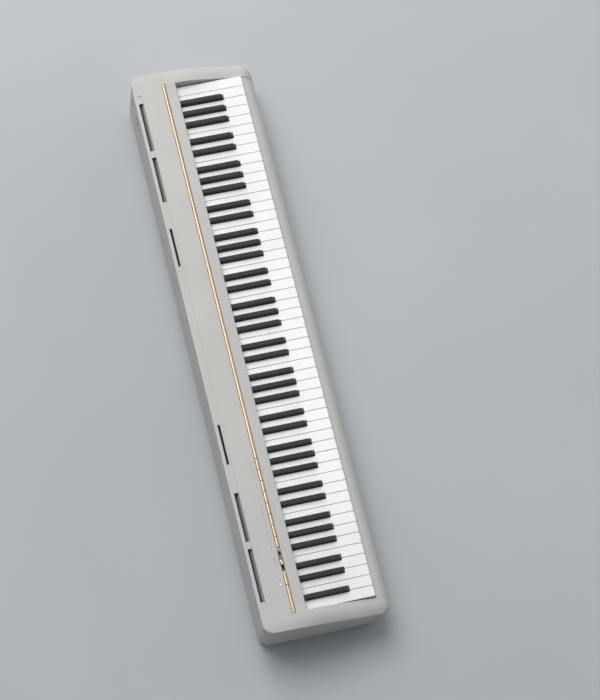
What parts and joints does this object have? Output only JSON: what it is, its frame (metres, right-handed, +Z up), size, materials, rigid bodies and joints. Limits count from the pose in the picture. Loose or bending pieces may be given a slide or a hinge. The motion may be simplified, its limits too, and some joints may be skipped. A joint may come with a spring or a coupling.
{
  "type": "portable digital piano",
  "caption": "Slab digital piano without a stand: full-length hinged keyboard between rounded cheeks, slotted top panel, gold strip of buttons with a volume slider, rear sockets, rubber feet.",
  "frame": {"origin": "middle of the base, on the surface the feet stand on", "axes": "+X towards the treble end, +Y towards the rear, +Z up"},
  "size_m": [1.296, 0.28, 0.153],
  "materials": {
    "case": "fine moulded texture, warm light grey",
    "case_lower": "fine moulded texture, warm light grey",
    "gold": "pale gold metallic lacquer, satin",
    "white_key": "smooth satin white",
    "black_key": "matt dark charcoal with a fine texture",
    "steel": "plated",
    "chassis": "moulded black plastic",
    "felt": "red felt",
    "board": "green circuit board",
    "speaker": "black frame and paper cone",
    "rubber": "matt black",
    "socket": "matt black"
  },
  "bodies": {
    "case": {"top_cover": "case", "lower_case": "case_lower", "front_rail": "case", "long_trim": "gold", "short_trim": "gold", "keybed_frame": "chassis", "key_hinge_rail": "steel", "key_stop_rail": "chassis", "felt_strip": "felt", "contact_board": "board", "contact_rubber": "rubber", "hammer_rail": "chassis", "panel_board": "board", "main_board": "board", "power_board": "board", "speaker_left": "speaker", "speaker_right": "speaker", "jack_plate": "socket", "foot_front_left": "rubber", "foot_front_right": "rubber", "foot_rear_left": "rubber", "foot_rear_right": "rubber"},
    "bass_white_keys": {"bass_white_keys": "white_key"},
    "bass_black_keys": {"bass_black_keys": "black_key"},
    "key_c4": {"key_c4": "white_key"},
    "key_c_sharp4": {"key_c_sharp4": "black_key"},
    "key_d4": {"key_d4": "white_key"},
    "key_d_sharp4": {"key_d_sharp4": "black_key"},
    "key_e4": {"key_e4": "white_key"},
    "key_f4": {"key_f4": "white_key"},
    "key_f_sharp4": {"key_f_sharp4": "black_key"},
    "key_g4": {"key_g4": "white_key"},
    "key_g_sharp4": {"key_g_sharp4": "black_key"},
    "key_a4": {"key_a4": "white_key"},
    "key_a_sharp4": {"key_a_sharp4": "black_key"},
    "key_b4": {"key_b4": "white_key"},
    "treble_white_keys": {"treble_white_keys": "white_key"},
    "treble_black_keys": {"treble_black_keys": "black_key"},
    "hammer_c4": {"hammer_c4": "steel"},
    "hammer_c_sharp4": {"hammer_c_sharp4": "steel"},
    "hammer_d4": {"hammer_d4": "steel"},
    "hammer_d_sharp4": {"hammer_d_sharp4": "steel"},
    "hammer_e4": {"hammer_e4": "steel"},
    "hammer_f4": {"hammer_f4": "steel"},
    "hammer_f_sharp4": {"hammer_f_sharp4": "steel"},
    "hammer_g4": {"hammer_g4": "steel"},
    "hammer_g_sharp4": {"hammer_g_sharp4": "steel"},
    "hammer_a4": {"hammer_a4": "steel"},
    "hammer_a_sharp4": {"hammer_a_sharp4": "steel"},
    "hammer_b4": {"hammer_b4": "steel"},
    "panel_button_1": {"panel_button_1": "gold"},
    "panel_button_2": {"panel_button_2": "gold"},
    "panel_button_3": {"panel_button_3": "gold"},
    "panel_button_4": {"panel_button_4": "gold"},
    "panel_button_5": {"panel_button_5": "gold"},
    "panel_button_6": {"panel_button_6": "gold"},
    "panel_button_7": {"panel_button_7": "gold"},
    "panel_button_8": {"panel_button_8": "gold"},
    "power_button": {"power_button": "gold"},
    "volume_knob": {"volume_knob": "gold"}
  },
  "joints": [
    {"name": "bass_white_keys_press", "type": "hinge", "parent": "case", "child": "bass_white_keys", "pos_m": [-0.34075, 0.0925, 0.1157], "axis": [1, 0, 0], "range_deg": [0, 2.9], "stiffness_Nm_per_rad": 11.5, "springref_deg": -18.33},
    {"name": "bass_black_keys_press", "type": "hinge", "parent": "case", "child": "bass_black_keys", "pos_m": [-0.34075, 0.0925, 0.1157], "axis": [1, 0, 0], "range_deg": [0, 3.6], "stiffness_Nm_per_rad": 6.4, "springref_deg": -17.19},
    {"name": "key_c4_press", "type": "hinge", "parent": "case", "child": "key_c4", "pos_m": [-0.05875, 0.0925, 0.1157], "axis": [1, 0, 0], "range_deg": [0, 2.9], "stiffness_Nm_per_rad": 0.5, "springref_deg": -18.33},
    {"name": "key_c_sharp4_press", "type": "hinge", "parent": "case", "child": "key_c_sharp4", "pos_m": [-0.0492, 0.0925, 0.1157], "axis": [1, 0, 0], "range_deg": [0, 3.6], "stiffness_Nm_per_rad": 0.4, "springref_deg": -17.19},
    {"name": "key_d4_press", "type": "hinge", "parent": "case", "child": "key_d4", "pos_m": [-0.03525, 0.0925, 0.1157], "axis": [1, 0, 0], "range_deg": [0, 2.9], "stiffness_Nm_per_rad": 0.5, "springref_deg": -18.33},
    {"name": "key_d_sharp4_press", "type": "hinge", "parent": "case", "child": "key_d_sharp4", "pos_m": [-0.0213, 0.0925, 0.1157], "axis": [1, 0, 0], "range_deg": [0, 3.6], "stiffness_Nm_per_rad": 0.4, "springref_deg": -17.19},
    {"name": "key_e4_press", "type": "hinge", "parent": "case", "child": "key_e4", "pos_m": [-0.01175, 0.0925, 0.1157], "axis": [1, 0, 0], "range_deg": [0, 2.9], "stiffness_Nm_per_rad": 0.5, "springref_deg": -18.33},
    {"name": "key_f4_press", "type": "hinge", "parent": "case", "child": "key_f4", "pos_m": [0.01175, 0.0925, 0.1157], "axis": [1, 0, 0], "range_deg": [0, 2.9], "stiffness_Nm_per_rad": 0.5, "springref_deg": -18.33},
    {"name": "key_f_sharp4_press", "type": "hinge", "parent": "case", "child": "key_f_sharp4", "pos_m": [0.0202, 0.0925, 0.1157], "axis": [1, 0, 0], "range_deg": [0, 3.6], "stiffness_Nm_per_rad": 0.4, "springref_deg": -17.19},
    {"name": "key_g4_press", "type": "hinge", "parent": "case", "child": "key_g4", "pos_m": [0.03525, 0.0925, 0.1157], "axis": [1, 0, 0], "range_deg": [0, 2.9], "stiffness_Nm_per_rad": 0.5, "springref_deg": -18.33},
    {"name": "key_g_sharp4_press", "type": "hinge", "parent": "case", "child": "key_g_sharp4", "pos_m": [0.047, 0.0925, 0.1157], "axis": [1, 0, 0], "range_deg": [0, 3.6], "stiffness_Nm_per_rad": 0.4, "springref_deg": -17.19},
    {"name": "key_a4_press", "type": "hinge", "parent": "case", "child": "key_a4", "pos_m": [0.05875, 0.0925, 0.1157], "axis": [1, 0, 0], "range_deg": [0, 2.9], "stiffness_Nm_per_rad": 0.5, "springref_deg": -18.33},
    {"name": "key_a_sharp4_press", "type": "hinge", "parent": "case", "child": "key_a_sharp4", "pos_m": [0.0738, 0.0925, 0.1157], "axis": [1, 0, 0], "range_deg": [0, 3.6], "stiffness_Nm_per_rad": 0.4, "springref_deg": -17.19},
    {"name": "key_b4_press", "type": "hinge", "parent": "case", "child": "key_b4", "pos_m": [0.08225, 0.0925, 0.1157], "axis": [1, 0, 0], "range_deg": [0, 2.9], "stiffness_Nm_per_rad": 0.5, "springref_deg": -18.33},
    {"name": "treble_white_keys_press", "type": "hinge", "parent": "case", "child": "treble_white_keys", "pos_m": [0.3525, 0.0925, 0.1157], "axis": [1, 0, 0], "range_deg": [0, 2.9], "stiffness_Nm_per_rad": 11, "springref_deg": -18.33},
    {"name": "treble_black_keys_press", "type": "hinge", "parent": "case", "child": "treble_black_keys", "pos_m": [0.3525, 0.0925, 0.1157], "axis": [1, 0, 0], "range_deg": [0, 3.6], "stiffness_Nm_per_rad": 6, "springref_deg": -17.19},
    {"name": "hammer_c4_swing", "type": "hinge", "parent": "case", "child": "hammer_c4", "pos_m": [-0.05875, 0.05, 0.095], "axis": [1, 0, 0], "range_deg": [0, 12.4]},
    {"name": "hammer_c_sharp4_swing", "type": "hinge", "parent": "case", "child": "hammer_c_sharp4", "pos_m": [-0.0492, 0.05, 0.095], "axis": [1, 0, 0], "range_deg": [0, 15.3]},
    {"name": "hammer_d4_swing", "type": "hinge", "parent": "case", "child": "hammer_d4", "pos_m": [-0.03525, 0.05, 0.095], "axis": [1, 0, 0], "range_deg": [0, 12.4]},
    {"name": "hammer_d_sharp4_swing", "type": "hinge", "parent": "case", "child": "hammer_d_sharp4", "pos_m": [-0.0213, 0.05, 0.095], "axis": [1, 0, 0], "range_deg": [0, 15.3]},
    {"name": "hammer_e4_swing", "type": "hinge", "parent": "case", "child": "hammer_e4", "pos_m": [-0.01175, 0.05, 0.095], "axis": [1, 0, 0], "range_deg": [0, 12.4]},
    {"name": "hammer_f4_swing", "type": "hinge", "parent": "case", "child": "hammer_f4", "pos_m": [0.01175, 0.05, 0.095], "axis": [1, 0, 0], "range_deg": [0, 12.4]},
    {"name": "hammer_f_sharp4_swing", "type": "hinge", "parent": "case", "child": "hammer_f_sharp4", "pos_m": [0.0202, 0.05, 0.095], "axis": [1, 0, 0], "range_deg": [0, 15.3]},
    {"name": "hammer_g4_swing", "type": "hinge", "parent": "case", "child": "hammer_g4", "pos_m": [0.03525, 0.05, 0.095], "axis": [1, 0, 0], "range_deg": [0, 12.4]},
    {"name": "hammer_g_sharp4_swing", "type": "hinge", "parent": "case", "child": "hammer_g_sharp4", "pos_m": [0.047, 0.05, 0.095], "axis": [1, 0, 0], "range_deg": [0, 15.3]},
    {"name": "hammer_a4_swing", "type": "hinge", "parent": "case", "child": "hammer_a4", "pos_m": [0.05875, 0.05, 0.095], "axis": [1, 0, 0], "range_deg": [0, 12.4]},
    {"name": "hammer_a_sharp4_swing", "type": "hinge", "parent": "case", "child": "hammer_a_sharp4", "pos_m": [0.0738, 0.05, 0.095], "axis": [1, 0, 0], "range_deg": [0, 15.3]},
    {"name": "hammer_b4_swing", "type": "hinge", "parent": "case", "child": "hammer_b4", "pos_m": [0.08225, 0.05, 0.095], "axis": [1, 0, 0], "range_deg": [0, 12.4]},
    {"name": "panel_button_1_press", "type": "slide", "parent": "case", "child": "panel_button_1", "axis": [0, 0, -1], "range_m": [0, 0.0012], "stiffness_N_per_m": 300, "springref_m": -0.003},
    {"name": "panel_button_2_press", "type": "slide", "parent": "case", "child": "panel_button_2", "axis": [0, 0, -1], "range_m": [0, 0.0012], "stiffness_N_per_m": 300, "springref_m": -0.003},
    {"name": "panel_button_3_press", "type": "slide", "parent": "case", "child": "panel_button_3", "axis": [0, 0, -1], "range_m": [0, 0.0012], "stiffness_N_per_m": 300, "springref_m": -0.003},
    {"name": "panel_button_4_press", "type": "slide", "parent": "case", "child": "panel_button_4", "axis": [0, 0, -1], "range_m": [0, 0.0012], "stiffness_N_per_m": 300, "springref_m": -0.003},
    {"name": "panel_button_5_press", "type": "slide", "parent": "case", "child": "panel_button_5", "axis": [0, 0, -1], "range_m": [0, 0.0012], "stiffness_N_per_m": 300, "springref_m": -0.003},
    {"name": "panel_button_6_press", "type": "slide", "parent": "case", "child": "panel_button_6", "axis": [0, 0, -1], "range_m": [0, 0.0012], "stiffness_N_per_m": 300, "springref_m": -0.003},
    {"name": "panel_button_7_press", "type": "slide", "parent": "case", "child": "panel_button_7", "axis": [0, 0, -1], "range_m": [0, 0.0012], "stiffness_N_per_m": 300, "springref_m": -0.003},
    {"name": "panel_button_8_press", "type": "slide", "parent": "case", "child": "panel_button_8", "axis": [0, 0, -1], "range_m": [0, 0.0012], "stiffness_N_per_m": 300, "springref_m": -0.003},
    {"name": "power_button_press", "type": "slide", "parent": "case", "child": "power_button", "axis": [0, 0, -1], "range_m": [0, 0.0012], "stiffness_N_per_m": 300, "springref_m": -0.003},
    {"name": "volume_slide", "type": "slide", "parent": "case", "child": "volume_knob", "axis": [1, 0, 0], "range_m": [-0.0125, 0.0125]}
  ],
  "couplings": [
    {"joint": "hammer_c4_swing", "follows": "key_c4_press", "ratio": 4.2},
    {"joint": "hammer_c_sharp4_swing", "follows": "key_c_sharp4_press", "ratio": 4.2},
    {"joint": "hammer_d4_swing", "follows": "key_d4_press", "ratio": 4.2},
    {"joint": "hammer_d_sharp4_swing", "follows": "key_d_sharp4_press", "ratio": 4.2},
    {"joint": "hammer_e4_swing", "follows": "key_e4_press", "ratio": 4.2},
    {"joint": "hammer_f4_swing", "follows": "key_f4_press", "ratio": 4.2},
    {"joint": "hammer_f_sharp4_swing", "follows": "key_f_sharp4_press", "ratio": 4.2},
    {"joint": "hammer_g4_swing", "follows": "key_g4_press", "ratio": 4.2},
    {"joint": "hammer_g_sharp4_swing", "follows": "key_g_sharp4_press", "ratio": 4.2},
    {"joint": "hammer_a4_swing", "follows": "key_a4_press", "ratio": 4.2},
    {"joint": "hammer_a_sharp4_swing", "follows": "key_a_sharp4_press", "ratio": 4.2},
    {"joint": "hammer_b4_swing", "follows": "key_b4_press", "ratio": 4.2}
  ]
}
